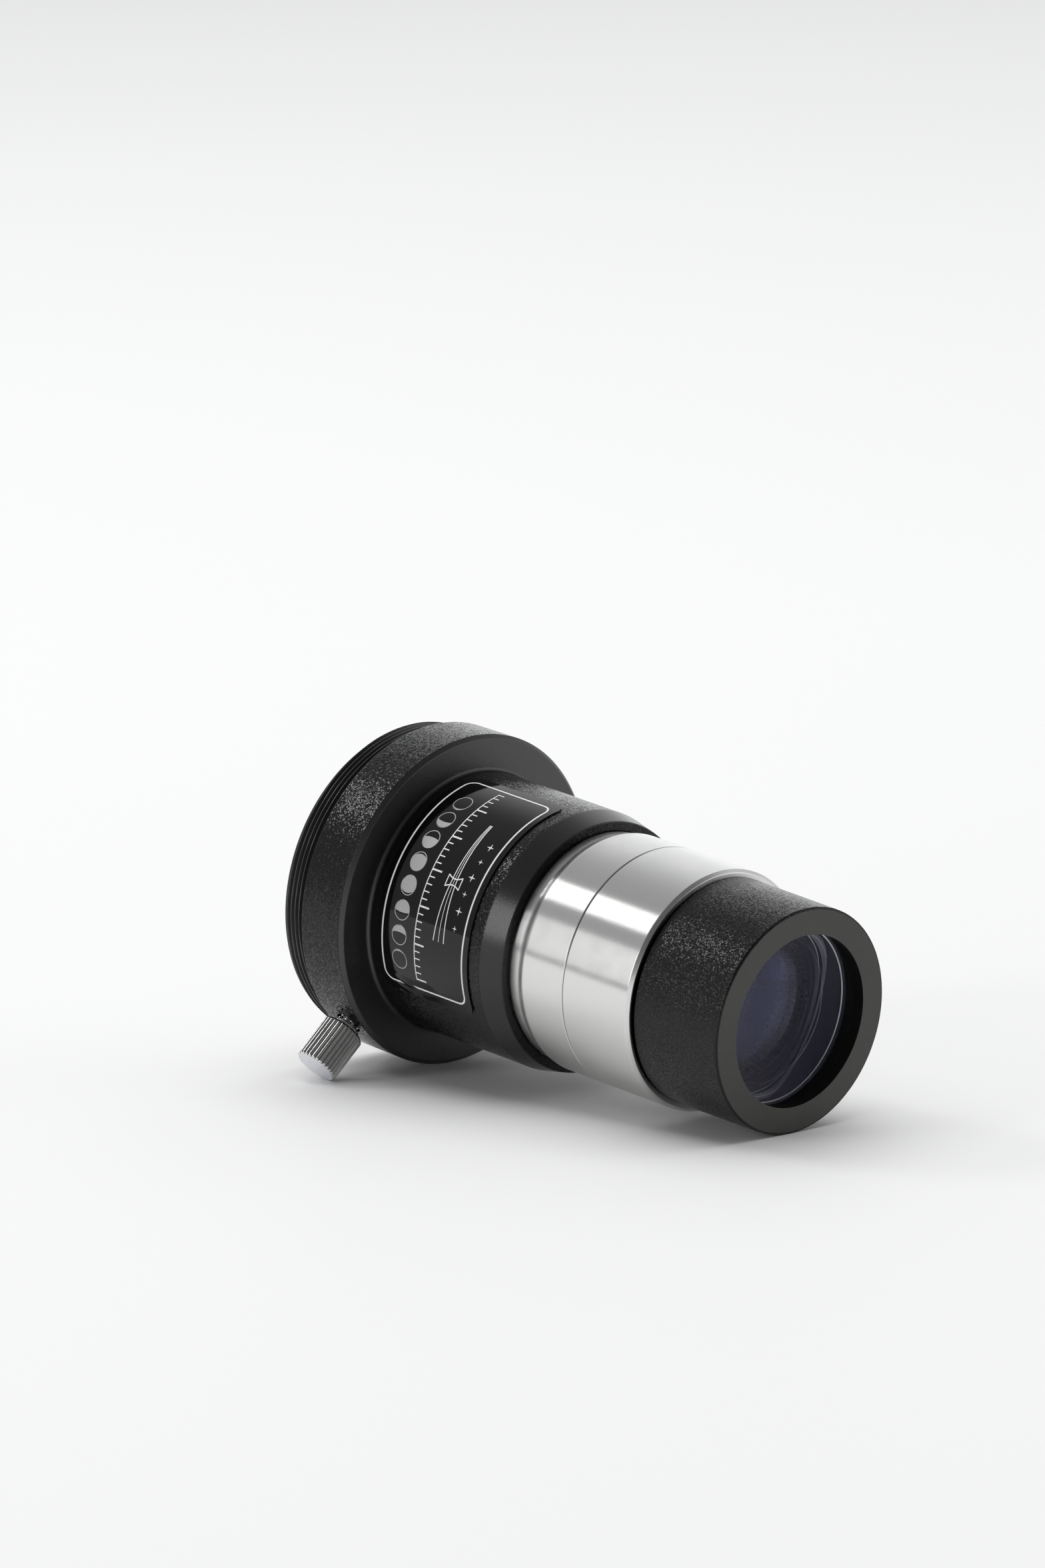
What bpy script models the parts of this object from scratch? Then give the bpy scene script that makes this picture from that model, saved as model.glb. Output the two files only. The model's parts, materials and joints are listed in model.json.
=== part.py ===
"""2x barlow lens with a camera thread, lying on its side, as separate turned pieces.

Every turned piece is drawn as a half section (station along the optical axis, radius) and
spun about that axis. Stations run from the rear end face (0) to the nose (OVERALL_LENGTH).
The whole lens hangs on one empty, optical_axis, which is tilted so that the lens rests on
its flange, its nose and its thumbscrew, as it does on a table.
"""

import math

import bmesh
import bpy
from mathutils import Euler, Vector

MM = 0.001

# ---------------------------------------------------------------- driving dimensions, mm
BARREL_DIAMETER = 31.7          # slides into a 1.25 inch focuser
EYEPIECE_BORE_DIAMETER = 31.9   # takes a 31.75 mm eyepiece barrel
OVERALL_LENGTH = 73.4
GAP = 0.3                       # clearance kept between pieces that touch

# Adapter body, from the rear end to the front
THREAD_CREST_RADIUS = 20.95     # M42 x 0.75 camera thread
THREAD_ROOT_RADIUS = 20.45
THREAD_PITCH = 0.75
THREAD_TURNS = 5
THREAD_START = 0.3
THREAD_CREST_SHARE = 0.15       # part of the pitch from a turn's edge to its crest
THREAD_RUN_OUT = 0.1
THREAD_RELIEF_RADIUS = 20.2
UNDERCUT_RADIUS = 21.05         # the relief also bites into the flange's rear face
UNDERCUT_DEPTH = 0.1
FLANGE_REAR = 4.8
FLANGE_FRONT = 12.4
FLANGE_RADIUS = 22.05
FLANGE_REAR_RADIUS = 21.95
FLANGE_CHAMFER = 0.5
EDGE_BREAK = 0.15
LEAD_IN = 0.3                   # chamfer at the mouth of a bore or thread
BODY_RADIUS = 17.3
BODY_FILLET = 0.5
BODY_TAPER_START = 33.1
BODY_FRONT = 36.6
BODY_FRONT_RADIUS = 16.6
SOCKET_FLOOR = 31.6             # depth to which an eyepiece barrel can go
SOCKET_FLOOR_CHAMFER = 0.5

# Silver barrel, in two sections that screw together at a hairline seam
NECK_RADIUS = 15.35
NECK_END = 38.5
SHOULDER_END = 39.5
BARREL_SEAM = 46.8
BARREL_END = 58.55
BARREL_CHAMFER = 0.4
BARREL_BORE_RADIUS = 13.9
SPIGOT_RADIUS = 15.1            # thread that holds the barrel in the adapter body
JOINT_SPIGOT_RADIUS = 14.6      # thread that joins the two sections
JOINT_SPIGOT_LENGTH = 4.0
SEAM_WIDTH = 0.1
SEAM_DEPTH = 0.1

# Lens cell at the nose
CELL_REAR_RADIUS = 14.9
CELL_FRONT_RADIUS = 14.8
CELL_EDGE_ROUND = 0.3
CELL_THREAD_RADIUS = 14.1       # M28.5 x 0.6 thread inside the barrel
CELL_THREAD_LENGTH = 4.0
CELL_RUN_OUT = 1.5              # room behind the cell's thread
CELL_RELIEF = 0.4
CELL_SEAT_RADIUS = 12.3
NOSE_OPENING_RADIUS = 11.25
NOSE_LIP = 1.4

# Glass: a biconcave element in front and a meniscus behind it
GLASS_RADIUS = 12.0
FRONT_CURVE = 70.0
INNER_CURVE = 45.0
REAR_CURVE = 120.0
NEGATIVE_CENTRE_THICKNESS = 1.8
MENISCUS_CENTRE_THICKNESS = 3.2
SPACER_INNER_RADIUS = 11.4
SPACER_THICKNESS = 0.5
RETAINER_INNER_RADIUS = 10.9
RETAINER_LENGTH = 2.0
RETAINER_SLOT_WIDTH = 1.6
RETAINER_SLOT_DEPTH = 0.9
BAFFLE_INNER_RADIUS = 11.3
BAFFLE_RIB_HEIGHT = 0.25
BAFFLE_RIBS = 60

# Thumbscrew, radial through the flange; distances are from the optical axis
SCREW_STATION = 8.7
SCREW_THREAD_RADIUS = 1.5       # M3 x 0.5
SCREW_HOLE_RADIUS = 1.8
SCREW_COLLAR_RADIUS = 1.95
SCREW_COLLAR_START = 22.5
SCREW_HEAD_START = 23.05
SCREW_END = 29.4
SCREW_HEAD_RADIUS = 2.95
SCREW_FLUTE_DEPTH = 0.25
SCREW_FLUTES = 30
SCREW_CHAMFER = 0.3
SHANK_END = 17.4
SHANK_LEAD_IN = 0.2
TIP_RADIUS = 1.2
TIP_EDGE = 0.15
TIP_END = 16.2
TIP_STEM_RADIUS = 0.6
TIP_STEM_TOP = 18.7

# Wrapped label on the body
LABEL_START = 14.2
LABEL_END = 31.1
LABEL_SPAN = math.radians(113)
LABEL_ELEVATION = math.radians(27)
LABEL_CORNER = 1.5
LABEL_STANDOFF = 0.08
LABEL_THICKNESS = 0.12
LABEL_COLUMNS = 28
LABEL_CORNER_SHARE = 0.9        # part of the corner radius by which the end columns are shortened

# ---------------------------------------------------------------- fineness of the meshes
FACETS = 60                     # sides of the large turned pieces
FINE_FACETS = 40                # sides of the glass and its rings
HOLE_FACETS = 24
TIP_FACETS = 16
ARC_STEPS = 3
SHARP_EDGE = math.radians(30)
MERGE_DISTANCE = 1e-5           # mm
SAME_RADIUS = 0.01              # mm; points this near a radius lie on it
OVERRUN = 2.0                   # mm by which a guide sticks out of what it cuts

# ---------------------------------------------------------------- derived dimensions, mm
BARREL_RADIUS = BARREL_DIAMETER / 2
SOCKET_RADIUS = EYEPIECE_BORE_DIAMETER / 2
FLANGE_CONTACT = FLANGE_FRONT - FLANGE_CHAMFER
NOSE_CONTACT = OVERALL_LENGTH - CELL_EDGE_ROUND
CELL_THREAD_REAR = BARREL_END - CELL_THREAD_LENGTH
SCREW_CONTACT = SCREW_END - SCREW_CHAMFER
RELIEF_START = THREAD_START + THREAD_TURNS * THREAD_PITCH + THREAD_RUN_OUT
UNDERCUT_FLOOR = FLANGE_REAR + UNDERCUT_DEPTH

# The lens lies on the flange's front edge and the nose's edge, so its axis dips forward.
NOSE_DIP = math.atan2(FLANGE_RADIUS - CELL_FRONT_RADIUS, NOSE_CONTACT - FLANGE_CONTACT)
AXIS_HEIGHT_AT_REAR = (FLANGE_CONTACT * math.sin(NOSE_DIP)
                       + FLANGE_RADIUS * math.cos(NOSE_DIP))


def screw_angle():
    """Angle of the thumbscrew below the horizontal when the rim of its head touches the table."""
    height = AXIS_HEIGHT_AT_REAR - SCREW_STATION * math.sin(NOSE_DIP)
    reach = math.hypot(SCREW_CONTACT, SCREW_HEAD_RADIUS)
    slope = math.asin(height / reach) - math.atan2(SCREW_HEAD_RADIUS, SCREW_CONTACT)
    return math.asin(math.sin(slope) / math.cos(NOSE_DIP))


SCREW_ANGLE = screw_angle()


# ---------------------------------------------------------------- modelling helpers
def clear_scene():
    for obj in list(bpy.data.objects):
        bpy.data.objects.remove(obj)


def make_material(name, colour, roughness, metallic, alpha=1.0):
    material = bpy.data.materials.new(name)
    material.use_nodes = True
    shader = material.node_tree.nodes["Principled BSDF"]
    shader.inputs["Base Color"].default_value = (*colour, 1.0)
    shader.inputs["Roughness"].default_value = roughness
    shader.inputs["Metallic"].default_value = metallic
    shader.inputs["Alpha"].default_value = alpha
    material.diffuse_color = (*colour, alpha)
    return material


def make_empty(name, parent=None):
    empty = bpy.data.objects.new(name, None)
    bpy.context.collection.objects.link(empty)
    empty.parent = parent
    return empty


def make_object(name, bm, parent, material, station=0.0):
    """Turn a bmesh drawn in millimetres into an object whose origin is on the axis at station."""
    bmesh.ops.translate(bm, verts=bm.verts, vec=(-station, 0, 0))
    bmesh.ops.scale(bm, verts=bm.verts, vec=(MM, MM, MM))
    bmesh.ops.recalc_face_normals(bm, faces=bm.faces)
    mesh = bpy.data.meshes.new(name)
    bm.to_mesh(mesh)
    bm.free()
    mesh.shade_smooth()
    mesh.set_sharp_from_angle(angle=SHARP_EDGE)
    obj = bpy.data.objects.new(name, mesh)
    bpy.context.collection.objects.link(obj)
    obj.parent = parent
    obj.location = (station * MM, 0, 0)
    obj.data.materials.append(material)
    return obj


def spin_section(section, facets):
    """Spin a closed half section of (station, radius) points about the X axis, from straight down."""
    bm = bmesh.new()
    verts = [bm.verts.new((station, 0, -radius)) for station, radius in section]
    edges = [bm.edges.new((a, b)) for a, b in zip(verts, verts[1:] + verts[:1])]
    bmesh.ops.spin(bm, geom=verts + edges, cent=(0, 0, 0), axis=(1, 0, 0),
                   angle=2 * math.pi, steps=facets, use_merge=True)
    bmesh.ops.remove_doubles(bm, verts=bm.verts, dist=MERGE_DISTANCE)
    return bm


def round_stretch(centre, radius, start_degrees, end_degrees):
    """Points of an arc in the half section, start and end included."""
    points = []
    for step in range(ARC_STEPS + 1):
        angle = math.radians(start_degrees + (end_degrees - start_degrees) * step / ARC_STEPS)
        points.append((centre[0] + radius * math.cos(angle), centre[1] + radius * math.sin(angle)))
    return points


def sag(curve, radius):
    return curve - math.sqrt(curve * curve - radius * radius)


def lens_surface(vertex, curve, bend, steps=4):
    """Points from the axis to the rim of a spherical surface; bend is the side its rim leans to."""
    radii = [GLASS_RADIUS * step / steps for step in range(steps + 1)]
    return [(vertex + bend * sag(curve, radius), radius) for radius in radii]


def cut(target, cutter):
    """Subtract a guide object, which stays hidden, from a piece."""
    cutter.hide_render = True
    cutter.display_type = "WIRE"
    modifier = target.modifiers.new("cut_" + cutter.name, "BOOLEAN")
    modifier.operation = "DIFFERENCE"
    modifier.solver = "EXACT"
    modifier.object = cutter


# ---------------------------------------------------------------- fixed pieces
def thread_crests():
    """Section points of the camera thread, as stacked V grooves between its crests."""
    points = []
    for turn in range(THREAD_TURNS):
        left = THREAD_START + turn * THREAD_PITCH
        crest = THREAD_CREST_SHARE * THREAD_PITCH
        points.append((left + crest, THREAD_CREST_RADIUS))
        points.append((left + THREAD_PITCH / 2, THREAD_ROOT_RADIUS))
        points.append((left + THREAD_PITCH - crest, THREAD_CREST_RADIUS))
    return points


def make_adapter_body(frame, axis_of_screw, black_metal):
    section = [(0.0, SOCKET_RADIUS + LEAD_IN), (0.0, THREAD_ROOT_RADIUS)]
    section += thread_crests()
    section += [
        (RELIEF_START, THREAD_RELIEF_RADIUS),
        (UNDERCUT_FLOOR, THREAD_RELIEF_RADIUS),
        (UNDERCUT_FLOOR, UNDERCUT_RADIUS),
        (FLANGE_REAR, UNDERCUT_RADIUS),
        (FLANGE_REAR, FLANGE_REAR_RADIUS - EDGE_BREAK),
        (FLANGE_REAR + EDGE_BREAK, FLANGE_REAR_RADIUS),
        (FLANGE_CONTACT, FLANGE_RADIUS),
        (FLANGE_FRONT, FLANGE_RADIUS - FLANGE_CHAMFER),
    ]
    fillet_centre = (FLANGE_FRONT + BODY_FILLET, BODY_RADIUS + BODY_FILLET)
    section += round_stretch(fillet_centre, BODY_FILLET, 180, 270)
    section += [
        (BODY_TAPER_START, BODY_RADIUS),
        (BODY_FRONT - EDGE_BREAK, BODY_FRONT_RADIUS),
        (BODY_FRONT, BODY_FRONT_RADIUS - EDGE_BREAK),
        (BODY_FRONT, SPIGOT_RADIUS + GAP),
        (SOCKET_FLOOR + SOCKET_FLOOR_CHAMFER, SPIGOT_RADIUS + GAP),
        (SOCKET_FLOOR, SOCKET_RADIUS),
        (LEAD_IN, SOCKET_RADIUS),
    ]
    body = make_object("adapter_body", spin_section(section, FACETS), frame, black_metal, FLANGE_FRONT)
    hole = [
        (SOCKET_RADIUS - OVERRUN, 0), (SOCKET_RADIUS - OVERRUN, SCREW_HOLE_RADIUS),
        (FLANGE_RADIUS + OVERRUN, SCREW_HOLE_RADIUS), (FLANGE_RADIUS + OVERRUN, 0),
    ]
    drill = make_object("screw_hole_guide", spin_section(hole, HOLE_FACETS), axis_of_screw, black_metal)
    cut(body, drill)


def make_barrel_rear(frame, silver):
    rear = SOCKET_FLOOR + GAP
    counterbore = JOINT_SPIGOT_RADIUS + GAP
    counterbore_floor = BARREL_SEAM - JOINT_SPIGOT_LENGTH - GAP
    seam_face = BARREL_SEAM - SEAM_WIDTH / 2
    section = [
        (rear, BARREL_BORE_RADIUS), (rear, SPIGOT_RADIUS - LEAD_IN),
        (rear + LEAD_IN, SPIGOT_RADIUS), (BODY_FRONT + GAP, SPIGOT_RADIUS),
        (BODY_FRONT + GAP, NECK_RADIUS), (NECK_END, NECK_RADIUS),
        (SHOULDER_END, BARREL_RADIUS), (seam_face - SEAM_DEPTH, BARREL_RADIUS),
        (seam_face, BARREL_RADIUS - SEAM_DEPTH), (seam_face, counterbore),
        (counterbore_floor, counterbore), (counterbore_floor, BARREL_BORE_RADIUS),
    ]
    make_object("barrel_rear_section", spin_section(section, FACETS), frame, silver, rear)


def make_barrel_front(frame, silver):
    cell_bore = CELL_THREAD_RADIUS + GAP
    cell_bore_floor = CELL_THREAD_REAR - CELL_RUN_OUT
    rear = BARREL_SEAM - JOINT_SPIGOT_LENGTH
    seam_face = BARREL_SEAM + SEAM_WIDTH / 2
    section = [
        (rear, BARREL_BORE_RADIUS), (rear, JOINT_SPIGOT_RADIUS),
        (seam_face, JOINT_SPIGOT_RADIUS), (seam_face, BARREL_RADIUS - SEAM_DEPTH),
        (seam_face + SEAM_DEPTH, BARREL_RADIUS), (BARREL_END - BARREL_CHAMFER, BARREL_RADIUS),
        (BARREL_END, BARREL_RADIUS - BARREL_CHAMFER), (BARREL_END, cell_bore),
        (cell_bore_floor, cell_bore), (cell_bore_floor, BARREL_BORE_RADIUS),
    ]
    make_object("barrel_front_section", spin_section(section, FACETS), frame, silver, BARREL_END)


def make_label(frame, label_gloss):
    """A thin curved plate with rounded corners that follows the body's cylinder."""
    inner = BODY_RADIUS + LABEL_STANDOFF
    outer = inner + LABEL_THICKNESS
    half_arc = LABEL_SPAN * outer / 2
    columns = []
    for column in range(LABEL_COLUMNS + 1):
        # Columns crowd towards both ends, where the corners are.
        arc = -half_arc * math.cos(math.pi * column / LABEL_COLUMNS)
        past_corner = max(0.0, abs(arc) - (half_arc - LABEL_CORNER))
        inset = LABEL_CORNER - math.sqrt(max(0.0, LABEL_CORNER ** 2 - past_corner ** 2))
        columns.append((arc / outer, min(inset, LABEL_CORNER * LABEL_CORNER_SHARE)))
    bm = bmesh.new()
    rings = []
    for angle, inset in columns:
        turn = LABEL_ELEVATION + angle
        ring = []
        for station, radius in ((LABEL_START + inset, inner), (LABEL_START + inset, outer),
                                (LABEL_END - inset, outer), (LABEL_END - inset, inner)):
            ring.append(bm.verts.new((station, -radius * math.cos(turn), radius * math.sin(turn))))
        rings.append(ring)
    for ring, following in zip(rings, rings[1:]):
        for corner in range(4):
            after = (corner + 1) % 4
            bm.faces.new((ring[corner], ring[after], following[after], following[corner]))
    bm.faces.new(rings[0])
    bm.faces.new(rings[-1])
    make_object("body_label", bm, frame, label_gloss, (LABEL_START + LABEL_END) / 2)


# ---------------------------------------------------------------- lens group
def glass_layout():
    """Stations of the vertices of both elements and of the rims that hold them."""
    front_rim = OVERALL_LENGTH - NOSE_LIP - GAP
    front_vertex = front_rim - sag(FRONT_CURVE, GLASS_RADIUS)
    inner_vertex = front_vertex - NEGATIVE_CENTRE_THICKNESS
    inner_rim = inner_vertex - sag(INNER_CURVE, GLASS_RADIUS)
    air_space = SPACER_THICKNESS + 2 * GAP
    meniscus_front = inner_vertex - air_space
    meniscus_rear = meniscus_front - MENISCUS_CENTRE_THICKNESS
    return {
        "front_vertex": front_vertex,
        "inner_vertex": inner_vertex,
        "inner_rim": inner_rim,
        "meniscus_front": meniscus_front,
        "meniscus_rear": meniscus_rear,
        "rear_rim": meniscus_rear - sag(REAR_CURVE, GLASS_RADIUS),
    }


def make_elements(cell_axis, joint_station, glass, spacer_metal, layout):
    negative = lens_surface(layout["front_vertex"], FRONT_CURVE, 1)
    negative += reversed(lens_surface(layout["inner_vertex"], INNER_CURVE, -1))
    meniscus = lens_surface(layout["meniscus_front"], INNER_CURVE, -1)
    meniscus += reversed(lens_surface(layout["meniscus_rear"], REAR_CURVE, -1))
    for name, section in (("negative_element", negative), ("meniscus_element", meniscus)):
        shifted = [(station - joint_station, radius) for station, radius in section]
        make_object(name, spin_section(shifted, FINE_FACETS), cell_axis, glass)
    # The spacer's faces are chamfered to the elements' curves.
    outer_front = layout["inner_rim"] - GAP
    inner_front = layout["inner_vertex"] - sag(INNER_CURVE, SPACER_INNER_RADIUS) - GAP
    spacer = [
        (outer_front, GLASS_RADIUS), (outer_front - SPACER_THICKNESS, GLASS_RADIUS),
        (inner_front - SPACER_THICKNESS, SPACER_INNER_RADIUS), (inner_front, SPACER_INNER_RADIUS),
    ]
    shifted = [(station - joint_station, radius) for station, radius in spacer]
    make_object("element_spacer", spin_section(shifted, FINE_FACETS), cell_axis, spacer_metal)


def make_cell(cell_axis, joint_station, black_metal):
    section = [
        (CELL_THREAD_REAR, CELL_SEAT_RADIUS + LEAD_IN),
        (CELL_THREAD_REAR, CELL_THREAD_RADIUS - LEAD_IN),
        (CELL_THREAD_REAR + LEAD_IN, CELL_THREAD_RADIUS),
        (BARREL_END - 2 * CELL_RELIEF, CELL_THREAD_RADIUS),
        (BARREL_END - CELL_RELIEF, CELL_THREAD_RADIUS - CELL_RELIEF),
        (BARREL_END + GAP, CELL_THREAD_RADIUS - CELL_RELIEF),
        (BARREL_END + GAP, CELL_REAR_RADIUS - EDGE_BREAK),
        (BARREL_END + GAP + EDGE_BREAK, CELL_REAR_RADIUS),
    ]
    round_centre = (OVERALL_LENGTH - CELL_EDGE_ROUND, CELL_FRONT_RADIUS - CELL_EDGE_ROUND)
    section += round_stretch(round_centre, CELL_EDGE_ROUND, 90, 0)
    section += [
        (OVERALL_LENGTH, NOSE_OPENING_RADIUS), (OVERALL_LENGTH - NOSE_LIP, NOSE_OPENING_RADIUS),
        (OVERALL_LENGTH - NOSE_LIP, CELL_SEAT_RADIUS),
        (CELL_THREAD_REAR + LEAD_IN, CELL_SEAT_RADIUS),
    ]
    shifted = [(station - joint_station, radius) for station, radius in section]
    make_object("lens_cell", spin_section(shifted, FACETS), cell_axis, black_metal)


def make_retaining_ring(cell_axis, joint_station, black_metal, front):
    rear = front - RETAINER_LENGTH
    section = [
        (rear - joint_station, RETAINER_INNER_RADIUS), (rear - joint_station, GLASS_RADIUS),
        (front - joint_station, GLASS_RADIUS), (front - joint_station, RETAINER_INNER_RADIUS),
    ]
    ring = make_object("retaining_ring", spin_section(section, FINE_FACETS), cell_axis, black_metal)
    # One bar across the rear face cuts both spanner slots.
    bar = bmesh.new()
    bmesh.ops.create_cube(bar, size=1.0)
    bmesh.ops.scale(bar, verts=bar.verts,
                    vec=(2 * RETAINER_SLOT_DEPTH, 2 * (GLASS_RADIUS + OVERRUN), RETAINER_SLOT_WIDTH))
    bmesh.ops.translate(bar, verts=bar.verts, vec=(rear - joint_station, 0, 0))
    cut(ring, make_object("spanner_slot_guide", bar, cell_axis, black_metal))
    return rear


def make_baffle(cell_axis, joint_station, black_metal, front):
    """A sleeve whose bore carries fine lengthwise ribs that stop stray light."""
    rear = CELL_THREAD_REAR + GAP
    section = [
        (rear - joint_station, BAFFLE_INNER_RADIUS), (rear - joint_station, GLASS_RADIUS),
        (front - joint_station, GLASS_RADIUS), (front - joint_station, BAFFLE_INNER_RADIUS),
    ]
    bm = spin_section(section, 2 * BAFFLE_RIBS)
    flute(bm, 2 * BAFFLE_RIBS, BAFFLE_INNER_RADIUS, -BAFFLE_RIB_HEIGHT)
    make_object("light_baffle", bm, cell_axis, black_metal)


def flute(bm, facets, surface_radius, depth):
    """Pull every second lengthwise line of a spun cylinder towards the axis by depth."""
    for vert in bm.verts:
        radius = math.hypot(vert.co.y, vert.co.z)
        line = round(math.atan2(vert.co.y, vert.co.z) / (2 * math.pi) * facets)
        if abs(radius - surface_radius) < SAME_RADIUS and line % 2:
            scale = (radius - depth) / radius
            vert.co.y *= scale
            vert.co.z *= scale


# ---------------------------------------------------------------- thumbscrew
def make_thumbscrew(axis_of_screw, chrome, nylon):
    stem_hole = TIP_STEM_RADIUS + GAP
    section = [
        (SHANK_END, stem_hole), (SHANK_END, SCREW_THREAD_RADIUS - SHANK_LEAD_IN),
        (SHANK_END + SHANK_LEAD_IN, SCREW_THREAD_RADIUS), (SCREW_COLLAR_START, SCREW_THREAD_RADIUS),
        (SCREW_COLLAR_START, SCREW_COLLAR_RADIUS), (SCREW_HEAD_START, SCREW_COLLAR_RADIUS),
        (SCREW_HEAD_START, SCREW_HEAD_RADIUS - SCREW_CHAMFER),
        (SCREW_HEAD_START + SCREW_CHAMFER, SCREW_HEAD_RADIUS), (SCREW_CONTACT, SCREW_HEAD_RADIUS),
        (SCREW_END, SCREW_HEAD_RADIUS - SCREW_CHAMFER), (SCREW_END, 0.0),
        (TIP_STEM_TOP + GAP, 0.0), (TIP_STEM_TOP + GAP, stem_hole),
    ]
    bm = spin_section(section, 2 * SCREW_FLUTES)
    flute(bm, 2 * SCREW_FLUTES, SCREW_HEAD_RADIUS, SCREW_FLUTE_DEPTH)
    make_object("thumbscrew", bm, axis_of_screw, chrome)
    tip = [
        (TIP_END, 0.0), (TIP_END, TIP_RADIUS - TIP_EDGE), (TIP_END + TIP_EDGE, TIP_RADIUS),
        (SHANK_END - GAP, TIP_RADIUS), (SHANK_END - GAP, TIP_STEM_RADIUS),
        (TIP_STEM_TOP, TIP_STEM_RADIUS), (TIP_STEM_TOP, 0.0),
    ]
    make_object("thumbscrew_tip", spin_section(tip, TIP_FACETS), axis_of_screw, nylon)


# ---------------------------------------------------------------- assembly
def settle(frame):
    """Move the frame so that the lens stands on the origin, centred over it."""
    bpy.context.view_layer.update()
    corners = []
    for obj in bpy.data.objects:
        if obj.type == "MESH" and not obj.hide_render:
            corners += [obj.matrix_world @ vert.co for vert in obj.data.vertices]
    low = Vector([min(corner[axis] for corner in corners) for axis in range(3)])
    high = Vector([max(corner[axis] for corner in corners) for axis in range(3)])
    frame.location += Vector((-(low.x + high.x) / 2, -(low.y + high.y) / 2, -low.z))


def main():
    clear_scene()
    black_metal = make_material("black_anodised", (0.018, 0.018, 0.020), 0.45, 0.2)
    cell_black = make_material("black_matt_cell", (0.028, 0.028, 0.027), 0.55, 0.1)
    inner_black = make_material("black_inner", (0.012, 0.012, 0.013), 0.8, 0.0)
    silver = make_material("satin_silver", (0.72, 0.72, 0.71), 0.3, 1.0)
    chrome = make_material("chrome", (0.75, 0.75, 0.76), 0.12, 1.0)
    nylon = make_material("white_nylon", (0.75, 0.74, 0.70), 0.5, 0.0)
    spacer_metal = make_material("spacer_bright", (0.55, 0.55, 0.56), 0.35, 1.0)
    glass = make_material("coated_glass", (0.35, 0.34, 0.62), 0.02, 0.0, alpha=0.35)
    label_gloss = make_material("label_gloss", (0.010, 0.010, 0.011), 0.1, 0.0)

    frame = make_empty("optical_axis")
    frame.rotation_euler = (0, NOSE_DIP, 0)
    frame.location = (0, 0, AXIS_HEIGHT_AT_REAR * MM)

    cell_axis = make_empty("cell_axis", frame)
    cell_axis.location = (BARREL_END * MM, 0, 0)
    axis_of_screw = make_empty("thumbscrew_axis", frame)
    axis_of_screw.location = (SCREW_STATION * MM, 0, 0)
    axis_of_screw.rotation_mode = "ZYX"
    axis_of_screw.rotation_euler = Euler((SCREW_ANGLE, 0, -math.pi / 2), "ZYX")

    make_adapter_body(frame, axis_of_screw, black_metal)
    make_barrel_rear(frame, silver)
    make_barrel_front(frame, silver)
    make_label(frame, label_gloss)

    layout = glass_layout()
    make_elements(cell_axis, BARREL_END, glass, spacer_metal, layout)
    make_cell(cell_axis, BARREL_END, cell_black)
    retainer_front = layout["rear_rim"] - GAP
    retainer_rear = make_retaining_ring(cell_axis, BARREL_END, inner_black, retainer_front)
    make_baffle(cell_axis, BARREL_END, inner_black, retainer_rear - GAP)
    make_thumbscrew(axis_of_screw, chrome, nylon)
    settle(frame)


main()
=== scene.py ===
"""Looks of a 2x barlow lens with a camera thread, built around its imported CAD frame.

Lengths named here are millimetres along and around the optical axis, as in the part: stations run
from the rear end face (0) to the nose. A piece is drawn in that lens frame, with +X along the axis
towards the nose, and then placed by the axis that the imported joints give.
"""
import json
import math

import bmesh
import bpy
import numpy as np
from mathutils import Matrix, Vector


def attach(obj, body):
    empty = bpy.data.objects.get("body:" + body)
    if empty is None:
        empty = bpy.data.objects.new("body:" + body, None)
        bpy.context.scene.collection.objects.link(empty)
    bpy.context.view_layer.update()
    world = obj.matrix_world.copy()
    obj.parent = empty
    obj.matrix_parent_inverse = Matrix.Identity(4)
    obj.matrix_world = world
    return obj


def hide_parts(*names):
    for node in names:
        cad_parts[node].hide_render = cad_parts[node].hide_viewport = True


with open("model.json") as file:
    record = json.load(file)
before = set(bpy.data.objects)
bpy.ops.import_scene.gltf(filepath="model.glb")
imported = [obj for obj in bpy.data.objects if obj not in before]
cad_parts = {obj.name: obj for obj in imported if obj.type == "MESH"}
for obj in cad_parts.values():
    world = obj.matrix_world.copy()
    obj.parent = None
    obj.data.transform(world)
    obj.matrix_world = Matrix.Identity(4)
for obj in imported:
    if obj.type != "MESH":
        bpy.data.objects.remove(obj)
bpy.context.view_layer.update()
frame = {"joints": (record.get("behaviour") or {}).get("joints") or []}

MM = 0.001
SIDES = 256                     # columns round a large turned piece
SMALL_SIDES = 128
ROUND_STEPS = 5                 # rows in a rounded edge
GRAINS = 6200.0                 # grains per metre of the bead-blasted surfaces
SUPPORT = 0.03                  # distance of the rows that keep a rounded edge's shading local
THREAD_ROWS = 16                # rows in one pitch of a thread
TOOTH_SLOPE = 3.04              # of a thread's flank; higher leaves flatter crests and roots
SHARP = 32.0                    # degrees between faces from which an edge stays sharp

# Stations and radii of the CAD part, mm
LENGTH = 73.4
GAP = 0.3
THREAD_CREST = 20.95
THREAD_ROOT = 20.42
THREAD_PITCH = 0.75
THREAD_END = 4.15
RELIEF_RADIUS = 20.2
UNDERCUT_RADIUS = 21.05
UNDERCUT_DEPTH = 0.1
SOCKET_RADIUS = 15.95
SOCKET_FLOOR = 31.6
FLANGE_REAR = 4.8
FLANGE_FRONT = 12.4
FLANGE_REAR_RADIUS = 21.95
FLANGE_RADIUS = 22.05
FLANGE_CHAMFER = 0.5
BODY_RADIUS = 17.3
BODY_FILLET = 0.5
TAPER_START = 33.1
BODY_FRONT = 36.6
BODY_FRONT_RADIUS = 16.6
SPIGOT_RADIUS = 15.1
NECK_RADIUS = 15.35
NECK_END = 38.5
SHOULDER_END = 39.5
BARREL_RADIUS = 15.85
BARREL_BORE = 13.9
BARREL_SEAM = 46.8
SEAM_DEPTH = 0.1
SEAM_HALF = 0.05
BARREL_END = 58.55
BARREL_CHAMFER = 0.4
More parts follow.
